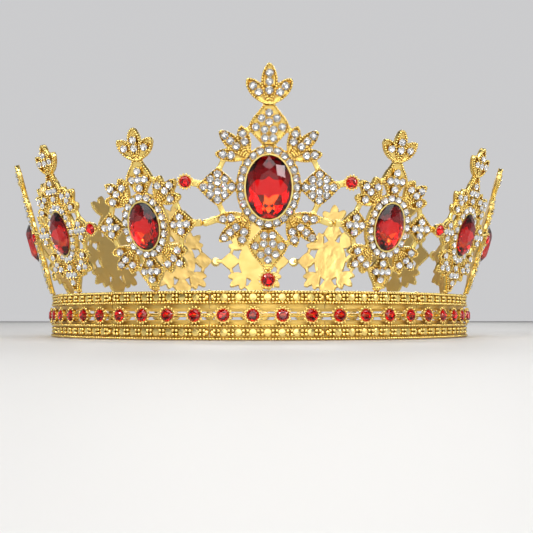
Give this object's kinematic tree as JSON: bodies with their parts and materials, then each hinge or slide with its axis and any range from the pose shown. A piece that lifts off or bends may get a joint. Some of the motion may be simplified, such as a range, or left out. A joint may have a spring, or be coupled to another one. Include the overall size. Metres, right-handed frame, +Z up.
{
  "type": "full round costume crown",
  "caption": "Full round gold-tone crown: an openwork circlet of soldered links carrying leaf-pattern uprights with oval red stones, taller at the front.",
  "frame": {"origin": "on the crown's axis, level with the circlet's lower edge", "axes": "+Z up along the crown's axis; the tall front upright faces -Y; +X is the wearer's left hand side"},
  "size_m": [0.1734, 0.1772, 0.0763],
  "materials": {
    "gold_band": "bright gold plate over a cast openwork gallery",
    "gold_upright": "bright gold plate with fine cast grain and beaded edges",
    "red_glass": "faceted, polished, foil backed",
    "clear_glass": "faceted, polished, foil backed"
  },
  "bodies": {
    "root": {"band_segment_01": "gold_band", "band_segment_02": "gold_band", "band_segment_03": "gold_band", "band_segment_04": "gold_band", "band_segment_05": "gold_band", "band_segment_06": "gold_band", "band_segment_07": "gold_band", "band_segment_08": "gold_band", "band_segment_09": "gold_band", "band_segment_10": "gold_band", "band_segment_11": "gold_band", "band_segment_12": "gold_band", "band_segment_13": "gold_band", "band_segment_14": "gold_band", "front_junction_stone_left": "red_glass", "front_junction_stone_right": "red_glass", "front_oval_stone": "red_glass", "front_pendant_stone": "red_glass", "front_upright": "gold_upright", "junction_stone_02": "red_glass", "junction_stone_03": "red_glass", "junction_stone_04": "red_glass", "junction_stone_05": "red_glass", "junction_stone_06": "red_glass", "junction_stone_07": "red_glass", "junction_stone_08": "red_glass", "junction_stone_09": "red_glass", "junction_stone_10": "red_glass", "junction_stone_11": "red_glass", "junction_stone_12": "red_glass", "junction_stone_13": "red_glass", "small_oval_stone_02": "red_glass", "small_oval_stone_03": "red_glass", "small_oval_stone_04": "red_glass", "small_oval_stone_05": "red_glass", "small_oval_stone_06": "red_glass", "small_oval_stone_07": "red_glass", "small_oval_stone_08": "red_glass", "small_oval_stone_09": "red_glass", "small_oval_stone_10": "red_glass", "small_oval_stone_11": "red_glass", "small_oval_stone_12": "red_glass", "small_oval_stone_13": "red_glass", "small_oval_stone_14": "red_glass", "small_upright_02": "gold_upright", "small_upright_03": "gold_upright", "small_upright_04": "gold_upright", "small_upright_05": "gold_upright", "small_upright_06": "gold_upright", "small_upright_07": "gold_upright", "small_upright_08": "gold_upright", "small_upright_09": "gold_upright", "small_upright_10": "gold_upright", "small_upright_11": "gold_upright", "small_upright_12": "gold_upright", "small_upright_13": "gold_upright", "small_upright_14": "gold_upright"}
  },
  "joints": []
}
